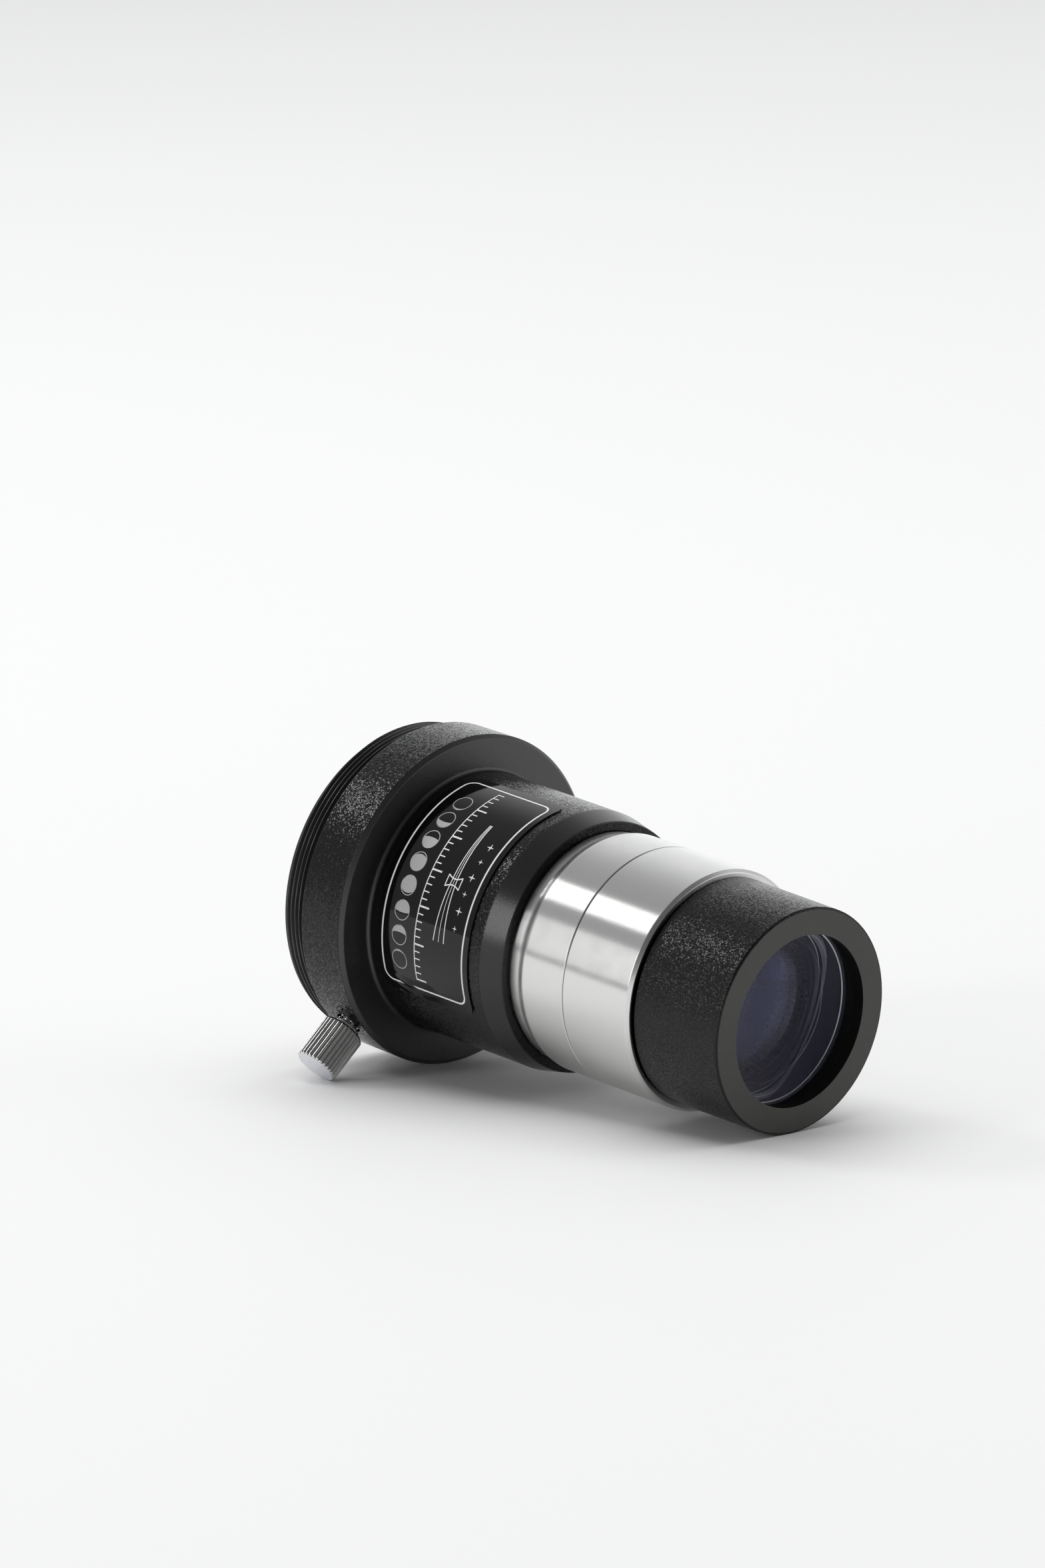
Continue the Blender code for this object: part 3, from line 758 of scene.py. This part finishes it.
def print_label(white_ink, grey_ink):
    """Generic print: a border, moon phases, a plain scale, a ray diagram of a lens, and stars."""
    border = Print()
    border.path(rounded_frame(BORDER_HALF_ARC, BORDER_REAR, BORDER_FRONT, BORDER_CORNER), BORDER_STROKE)
    border.piece("label_border", white_ink)
    moons = Print()
    for index in range(MOONS):
        phase = 0.1 + index * 1.8 / (MOONS - 1)
        moons.moon((MOON_ARC + MOON_STEP * index, MOON_STATION), MOON_RADIUS, phase)
    moons.piece("label_moons", grey_ink)
    scale = Print()
    for index in range(SCALE_TICKS):
        tall = index % 5 == 0
        arc = SCALE_ARC + index
        top = SCALE_STATION + (TALL_TICK if tall else SHORT_TICK)
        scale.line((arc, SCALE_STATION), (arc, top), TALL_STROKE if tall else THIN_STROKE)
    low, high = SCALE_ENDS
    scale.line((low, SCALE_STATION), (high, SCALE_STATION), THIN_STROKE)
    scale.piece("label_scale", white_ink)
    print_rays(white_ink)
    print_stars(white_ink)


def print_rays(ink):
    """Two converging rays that close in less steeply behind a negative lens on their axis."""
    rays = Print()
    for side in (-1, 1):
        at_lens = (0.0, RAYS_STATION + side * RAYS_AT_LENS)
        rays.line((RAYS_START, RAYS_STATION + side * RAYS_AT_START), at_lens, RAY_STROKE)
        rays.line(at_lens, (RAYS_END, RAYS_STATION + side * RAYS_AT_END), RAY_STROKE)
        bow = [(side * (LENS_HALF_WAIST + LENS_FLARE * (v / LENS_HALF_HEIGHT) ** 2), RAYS_STATION + v)
               for v in np.linspace(-LENS_HALF_HEIGHT, LENS_HALF_HEIGHT, 13)]
        rays.path(bow, THIN_STROKE)
        rim = LENS_HALF_WAIST + LENS_FLARE
        edge = RAYS_STATION + side * LENS_HALF_HEIGHT
        rays.line((-rim, edge), (rim, edge), THIN_STROKE)
    rays.line((RAYS_START, RAYS_STATION), (RAYS_END, RAYS_STATION), AXIS_STROKE)
    rays.piece("label_ray_diagram", ink)


def print_stars(ink):
    """Four-pointed stars, large and small by turns."""
    stars = Print()
    for index in range(STARS):
        centre = Vector((STAR_ARC + STAR_STEP * index, STAR_STATION))
        size = LARGE_STAR if index % 2 else SMALL_STAR
        for turn in range(4):
            way = Vector((math.cos(turn * math.pi / 2), math.sin(turn * math.pi / 2)))
            side = Vector((-way.y, way.x)) * size * STAR_WAIST
            stars.strip([tuple(centre + side), tuple(centre + way * size)],
                        [tuple(centre - side), tuple(centre + way * size * 1.001)])
    stars.piece("label_stars", ink)


# ---------------------------------------------------------------- nose: cell, glass and rings
def sag(curve, radius):
    """How far a spherical surface falls back from its vertex at a radius."""
    return curve - math.sqrt(curve * curve - radius * radius)


def glass_layout():
    """Stations of the four glass vertices, from the nose inwards."""
    front_vertex = LENGTH - NOSE_LIP - GAP - sag(FRONT_CURVE, GLASS_RADIUS)
    inner_vertex = front_vertex - NEGATIVE_THICKNESS
    meniscus_front = inner_vertex - SPACER_THICKNESS - 2 * GAP
    meniscus_rear = meniscus_front - MENISCUS_THICKNESS
    return front_vertex, inner_vertex, meniscus_front, meniscus_rear


def lens_rows(front, front_curve, front_bend, rear, rear_curve, rear_bend):
    """Rows of an element from the front vertex over the ground rim to the rear vertex."""
    steps = 20
    radii = [GLASS_RADIUS * step / steps for step in range(steps)] + [GLASS_RADIUS - BEVEL]
    rows = [(front + front_bend * sag(front_curve, r), r) for r in radii]
    rows.append((front + front_bend * sag(front_curve, GLASS_RADIUS) - BEVEL, GLASS_RADIUS))
    rows.append((rear + rear_bend * sag(rear_curve, GLASS_RADIUS) + BEVEL, GLASS_RADIUS))
    rows += [(rear + rear_bend * sag(rear_curve, r), r) for r in reversed(radii)]
    return rows


def make_glass(front_coat, rear_coat, edge_black, ground_edge):
    """The two elements; their rims are painted black and the fine bevels beside them are ground."""
    def paint(centre):
        radius = math.hypot(centre.y, centre.z)
        if radius > GLASS_RADIUS - BEVEL * 0.2:
            return 1
        return 2 if radius > GLASS_RADIUS - BEVEL * 0.95 else 0

    front_vertex, inner_vertex, meniscus_front, meniscus_rear = glass_layout()
    elements = (
        ("front_glass", "negative_element", front_coat,
         lens_rows(front_vertex, FRONT_CURVE, 1, inner_vertex, INNER_CURVE, -1)),
        ("rear_glass", "meniscus_element", rear_coat,
         lens_rows(meniscus_front, INNER_CURVE, -1, meniscus_rear, REAR_CURVE, -1)),
    )
    for name, node, coat, rows in elements:
        mesh = spun_mesh(name, rows, SMALL_SIDES, closed=False)
        clean(mesh)
        make_piece(name, mesh, LENS, [coat, edge_black, ground_edge], "lens_group",
                   [node], paint)


def make_spacer(metal):
    """The bright ring between the elements, which follows the curve of the front one."""
    _, inner_vertex, _, _ = glass_layout()
    outer = inner_vertex - sag(INNER_CURVE, GLASS_RADIUS) - GAP
    inner = inner_vertex - sag(INNER_CURVE, SPACER_INNER) - GAP
    outline = [(outer, GLASS_RADIUS, 0.05), (outer - SPACER_THICKNESS, GLASS_RADIUS, 0.05),
               (inner - SPACER_THICKNESS, SPACER_INNER, 0.05), (inner, SPACER_INNER, 0.05)]
    mesh = spun_mesh("bright_spacer", softened(outline), SMALL_SIDES)
    clean(mesh)
    make_piece("bright_spacer", mesh, LENS, [metal], "lens_group", ["element_spacer"])


def make_cell(black, face_black, bore_black):
    """The nose tube with its lip, the seat of the glass and the thread that fits the barrel."""
    outline = [
        (BARREL_END - 0.35, CELL_RELIEF, 0.05), (BARREL_END + GAP, CELL_RELIEF, 0.05),
        (BARREL_END + GAP, CELL_REAR_RADIUS, 0.12), (LENGTH, CELL_FRONT_RADIUS, CELL_ROUND),
        (LENGTH, NOSE_OPENING, 0.06), (LENGTH - NOSE_LIP, NOSE_OPENING, 0.06),
        (LENGTH - NOSE_LIP, CELL_SEAT, 0.04), (CELL_THREAD_REAR, CELL_SEAT, 0.25),
        (CELL_THREAD_REAR, CELL_THREAD_RADIUS - 0.4, 0.08),
    ]
    rows = softened(outline)
    rows += thread_rows(CELL_THREAD_REAR + 0.1, BARREL_END - 0.45, CELL_THREAD_RADIUS,
                        CELL_THREAD_RADIUS - CELL_THREAD_DEPTH, CELL_THREAD_PITCH, 0.4, 0.3)
    mesh = spun_mesh("nose_cell", rows, SIDES)
    clean(mesh)

    def paint(centre):
        radius = math.hypot(centre.y, centre.z)
        if centre.x > LENGTH - 0.01 and radius < CELL_FRONT_RADIUS - CELL_ROUND:
            return 1
        return 2 if radius < CELL_SEAT + 0.05 and centre.x < LENGTH - 0.02 else 0

    make_piece("nose_cell", mesh, LENS, [black, face_black, bore_black], "cell",
               ["lens_cell"], paint)


def make_retainer(black):
    """The ring that holds the glass, with two spanner slots; returns where the baffle starts."""
    _, _, _, meniscus_rear = glass_layout()
    front = meniscus_rear - sag(REAR_CURVE, GLASS_RADIUS) - GAP
    rear = front - RETAINER_LENGTH
    outline = [(rear, RETAINER_INNER, 0.1), (rear, GLASS_RADIUS, 0.1), (front, GLASS_RADIUS, 0.1),
               (front, RETAINER_INNER, 0.15)]
    mesh = spun_mesh("glass_retainer", softened(outline), SMALL_SIDES)
    clean(mesh)
    piece = make_piece("glass_retainer", mesh, LENS, [black], "cell", ["retaining_ring"])
    bar = bmesh.new()
    bmesh.ops.create_cube(bar, size=1.0)
    size = Vector((2 * SLOT_DEPTH, 2 * GLASS_RADIUS + 4, SLOT_WIDTH)) * MM
    bmesh.ops.scale(bar, verts=bar.verts, vec=size)
    bmesh.ops.translate(bar, verts=bar.verts, vec=(rear * MM, 0, 0))
    bar_mesh = bpy.data.meshes.new("slot_bar")
    bar.to_mesh(bar_mesh)
    bar.free()
    cut_with(piece, bar_mesh, LENS)
    return rear - GAP


def make_baffle(black, front):
    """The sleeve behind the glass, with fine ribs along its inside."""
    rear = CELL_THREAD_REAR + GAP
    outline = [(rear, BAFFLE_INNER, 0.05), (rear, GLASS_RADIUS, 0.05), (front, GLASS_RADIUS, 0.05),
               (front, BAFFLE_INNER, 0.05)]

    def ribs(station, radii, angles):
        wave = 0.5 + 0.5 * np.cos(angles * BAFFLE_RIBS)
        return np.where(radii < BAFFLE_INNER + 0.2, radii + BAFFLE_RIB_HEIGHT * wave, radii)

    mesh = spun_mesh("ribbed_baffle", softened(outline), 8 * BAFFLE_RIBS, reshape=ribs)
    clean(mesh)
    make_piece("ribbed_baffle", mesh, LENS, [black], "cell", ["light_baffle"])


# ---------------------------------------------------------------- thumbscrew
def make_thumbscrew(chrome, end_metal, nylon):
    """The knurled screw with its collar and thread, and the nylon tip pressed into its end."""
    stem_hole = TIP_STEM + GAP
    sides = 10 * SCREW_FLUTES
    before = [(TIP_STEM_TOP + GAP, 0.0), (TIP_STEM_TOP + GAP, stem_hole), (SHANK_END, stem_hole),
              (SHANK_END, SCREW_THREAD - 0.3)]
    thread = thread_rows(SHANK_END + 0.05, SCREW_COLLAR_START - 0.1, SCREW_THREAD,
                         SCREW_THREAD - SCREW_THREAD_DEPTH, SCREW_PITCH, 0.4, 0.3)
    head = softened([
        (SCREW_COLLAR_START, SCREW_THREAD - 0.3, 0.0), (SCREW_COLLAR_START, SCREW_COLLAR, 0.08),
        (SCREW_HEAD_START, SCREW_COLLAR, 0.05), (SCREW_HEAD_START, SCREW_HEAD - SCREW_CHAMFER, 0.06),
        (SCREW_HEAD_START + SCREW_CHAMFER, SCREW_HEAD, 0.08),
        (SCREW_END - SCREW_CHAMFER, SCREW_HEAD, 0.08),
        (SCREW_END - 0.02, SCREW_HEAD - SCREW_CHAMFER, 0.1),
        (SCREW_END, 0.4, 0.0), (SCREW_END, 0.0, 0.0),
    ])

    def flutes(station, radii, angles):
        """Rounded ridges along the head, with sharp valleys between them."""
        phase = np.abs((angles * SCREW_FLUTES / (2 * math.pi)) % 1.0 - 0.5) * 2
        depth = FLUTE_DEPTH * (1.0 - np.sin(phase * math.pi / 2))
        ceiling = SCREW_HEAD - depth
        return np.where((station > SCREW_HEAD_START + 0.01) & (radii > SCREW_COLLAR + 0.05),
                        np.minimum(radii, ceiling), radii)

    mesh = spun_mesh("thumbscrew_body", before + thread + head, sides, closed=False, reshape=flutes)
    clean(mesh, 24.0)

    def paint(centre):
        return 1 if centre.x > SCREW_END - 0.06 else 0

    make_piece("thumbscrew_body", mesh, SCREW, [chrome, end_metal], "screw",
               ["thumbscrew"], paint)
    tip = softened([
        (TIP_END, 0.0, 0.0), (TIP_END, TIP_RADIUS, 0.15), (SHANK_END - GAP, TIP_RADIUS, 0.08),
        (SHANK_END - GAP, TIP_STEM, 0.04), (TIP_STEM_TOP, TIP_STEM, 0.1), (TIP_STEM_TOP, 0.0, 0.0),
    ])
    mesh = spun_mesh("screw_tip_plug", tip, 48, closed=False)
    clean(mesh)
    make_piece("screw_tip_plug", mesh, SCREW, [nylon], "screw_tip", ["thumbscrew_tip"])


# ---------------------------------------------------------------- stage, light and camera
def direction(azimuth, elevation):
    """A unit vector; azimuth 0 is towards -Y, as the camera's azimuth is measured."""
    a, e = math.radians(azimuth), math.radians(elevation)
    return Vector((math.sin(a) * math.cos(e), -math.cos(a) * math.cos(e), math.sin(e)))


def mirrored(turn, tilt):
    """Where the camera looks after a mirror on the lens: turn is above the level on the near side,
    tilt is towards the nose."""
    a, b = math.radians(turn), math.radians(tilt)
    normal = Vector((math.sin(b), -math.cos(a) * math.cos(b), math.sin(a) * math.cos(b)))
    normal = LENS.to_3x3() @ normal
    view = -direction(CAMERA_AZIMUTH, CAMERA_ELEVATION)
    return view - 2 * view.dot(normal) * normal


def emitter(name, radiance):
    """An evenly glowing surface."""
    material = bpy.data.materials.new(name)
    material.use_nodes = True
    tree = material.node_tree
    tree.nodes.clear()
    glow = tree.nodes.new("ShaderNodeEmission")
    glow.inputs["Strength"].default_value = radiance
    tree.links.new(glow.outputs[0], tree.nodes.new("ShaderNodeOutputMaterial").inputs["Surface"])
    return material


def card(name, turns, tilts, radiance, distance=1.5):
    """A bright card that the lens mirrors between these turns and tilts."""
    corners = [(turns[0], tilts[0]), (turns[1], tilts[0]), (turns[1], tilts[1]), (turns[0], tilts[1])]
    mesh = bpy.data.meshes.new(name)
    middle = LENS @ Vector((LENGTH * MM * 0.6, 0, 0))
    mesh.from_pydata([middle + mirrored(*corner) * distance for corner in corners], [], [(0, 1, 2, 3)])
    mesh.materials.append(emitter(name, radiance))
    panel = bpy.data.objects.new(name, mesh)
    bpy.context.scene.collection.objects.link(panel)
    panel.visible_camera = False


def make_stage():
    """A pale floor."""
    nodes = Nodes("pale_floor")
    soft = nodes.noise(3.0, 2.0)
    nodes.set(Base_Color=nodes.mix(soft, grey(0.86), grey(0.88)), Roughness=0.7)
    nodes.set(Specular_IOR_Level=0.2)
    bm = bmesh.new()
    bmesh.ops.create_grid(bm, x_segments=8, y_segments=8, size=FLOOR_REACH)
    mesh = bpy.data.meshes.new("floor")
    bm.to_mesh(mesh)
    bm.free()
    mesh.materials.append(nodes.material)
    floor = bpy.data.objects.new("floor", mesh)
    bpy.context.scene.collection.objects.link(floor)


def make_world():
    """A grey room: the backdrop behind the lens is bright and brightest at its foot, the side that
    the nose faces is dark, and one wall is brighter for the end faces."""
    world = bpy.data.worlds.new("studio")
    world.use_nodes = True
    tree = world.node_tree
    place = tree.nodes.new("ShaderNodeTexCoord").outputs["Generated"]

    def joined(kind, operation, first, second):
        node = tree.nodes.new(kind)
        node.operation = operation
        for socket, value in zip(node.inputs, (first, second)):
            if isinstance(value, bpy.types.NodeSocket):
                tree.links.new(value, socket)
            elif value is not None:
                socket.default_value = value
        return node

    def lobe(centre, inner, outer, inside, outside):
        """A value round a direction that fades from inside to outside between two angles."""
        dot = joined("ShaderNodeVectorMath", "DOT_PRODUCT", place, centre).outputs["Value"]
        fade = tree.nodes.new("ShaderNodeMapRange")
        fade.interpolation_type = "SMOOTHSTEP"
        tree.links.new(joined("ShaderNodeMath", "ARCCOSINE", dot, None).outputs[0], fade.inputs[0])
        values = (math.radians(inner), math.radians(outer), inside, outside)
        for socket, value in zip(fade.inputs[1:5], values):
            socket.default_value = value
        return fade.outputs[0]

    behind = CAMERA_AZIMUTH + 180
    wall = lobe(direction(behind, BACKDROP_ELEVATION), *BACKDROP_FADE, BACKDROP, ROOM)
    glow = lobe(direction(behind, 0), *FOOT_FADE, BACKDROP_FOOT, 0.0)
    shade = lobe(direction(*DARK_PLACE), *DARK_FADE, DARK_SIDE, 1.0)
    azimuth, elevation, brightness = SIDE_WALL
    side = lobe(direction(azimuth, elevation), *SIDE_FADE, brightness, 0.0)
    lit = joined("ShaderNodeMath", "ADD", wall, glow).outputs[0]
    lit = joined("ShaderNodeMath", "ADD", lit, side).outputs[0]
    strength = joined("ShaderNodeMath", "MULTIPLY", lit, shade).outputs[0]
    background = tree.nodes["Background"]
    background.inputs["Color"].default_value = (0.98, 0.985, 1.0, 1)
    tree.links.new(strength, background.inputs["Strength"])
    bpy.context.scene.world = world
    bpy.context.scene.view_settings.view_transform = "Standard"


def make_lights():
    """The cards stand beside the mirror directions of the cylinders, so only satin surfaces see
    them; the lamp lights the floor."""
    card("upper_card", *UPPER_CARD)
    card("lower_card", *LOWER_CARD)
    light = bpy.data.lights.new("floor_light", "AREA")
    light.size = LAMP_SIZE
    light.energy = FLOOR_LIGHT
    lamp = bpy.data.objects.new("floor_light", light)
    bpy.context.scene.collection.objects.link(lamp)
    lamp.location = LAMP_PLACE
    lamp.visible_camera = False
    lamp.visible_glossy = False


def make_camera():
    """A long lens that looks at the aim point from an azimuth, an elevation and a distance."""
    data = bpy.data.cameras.new("camera")
    data.lens = CAMERA_LENS
    data.sensor_width = 36.0
    camera = bpy.data.objects.new("camera", data)
    bpy.context.scene.collection.objects.link(camera)
    back = direction(CAMERA_AZIMUTH, CAMERA_ELEVATION)
    camera.location = CAMERA_AIM + back * CAMERA_DISTANCE
    camera.rotation_mode = "QUATERNION"
    camera.rotation_quaternion = back.to_track_quat("Z", "Y")
    data.clip_start, data.clip_end = 0.05, 50.0
    bpy.context.scene.camera = camera


def build():
    """Stage first, then the materials and the pieces that wear them, from the rear to the nose."""
    make_stage()
    make_world()
    make_lights()
    make_camera()
    body_black = satin_black("body_black", base=0.0055, warm=1.15, roughness=0.18, grain=3600.0,
                             sparkle=0.015, shine=0.265, glint=0.30)
    turned_black = satin_black("turned_black", base=0.003, warm=1.1, roughness=0.43, grain=6000.0,
                               sparkle=0.02, shine=1.0)
    cone_black = satin_black("cone_black", base=0.002, warm=1.1, roughness=0.23, grain=6000.0,
                             sparkle=0.01, shine=0.55)
    cell_black = satin_black("cell_black", base=0.004, warm=1.15, roughness=0.25, grain=3600.0,
                             sparkle=0.012, shine=0.28, glint=0.28)
    face_black = satin_black("face_black", base=0.038, warm=0.92, roughness=0.5, grain=6000.0,
                             sparkle=0.02, shine=0.5)
    inner_black = flat_black("inner_black", 0.007, 0.6)
    edge_black = flat_black("edge_black", 0.01, 0.6)
    ground_edge = print_ink("ground_edge", 0.85)
    silver = turned_silver()
    chrome = bright_chrome("screw_chrome", (0.66, 0.65, 0.64, 1), 0.06, 0.1)
    end_metal = bright_chrome("screw_end_metal", (0.82, 0.83, 0.86, 1), 0.3, 0.42)
    socket_black = flat_black("socket_black", 0.02, 0.5, 0.4)
    make_adapter_body(body_black, turned_black, socket_black, cone_black)
    make_barrel(silver, flat_black("bore_black", 0.012, 0.55, 0.2))
    make_label(label_gloss())
    print_label(print_ink("white_ink", 0.78), print_ink("grey_ink", 0.42))
    front_coat = coated_glass("front_coat", (0.08, 0.075, 0.23, 1))
    rear_coat = coated_glass("rear_coat", (0.075, 0.08, 0.24, 1))
    make_glass(front_coat, rear_coat, edge_black, ground_edge)
    make_spacer(bright_chrome("spacer_metal", (0.78, 0.78, 0.8, 1), 0.6, 0.7))
    make_cell(cell_black, face_black, inner_black)
    make_baffle(flat_black("baffle_black", 0.02, 0.3, 1.0), make_retainer(inner_black))
    make_thumbscrew(chrome, end_metal, plain_nylon())


build()
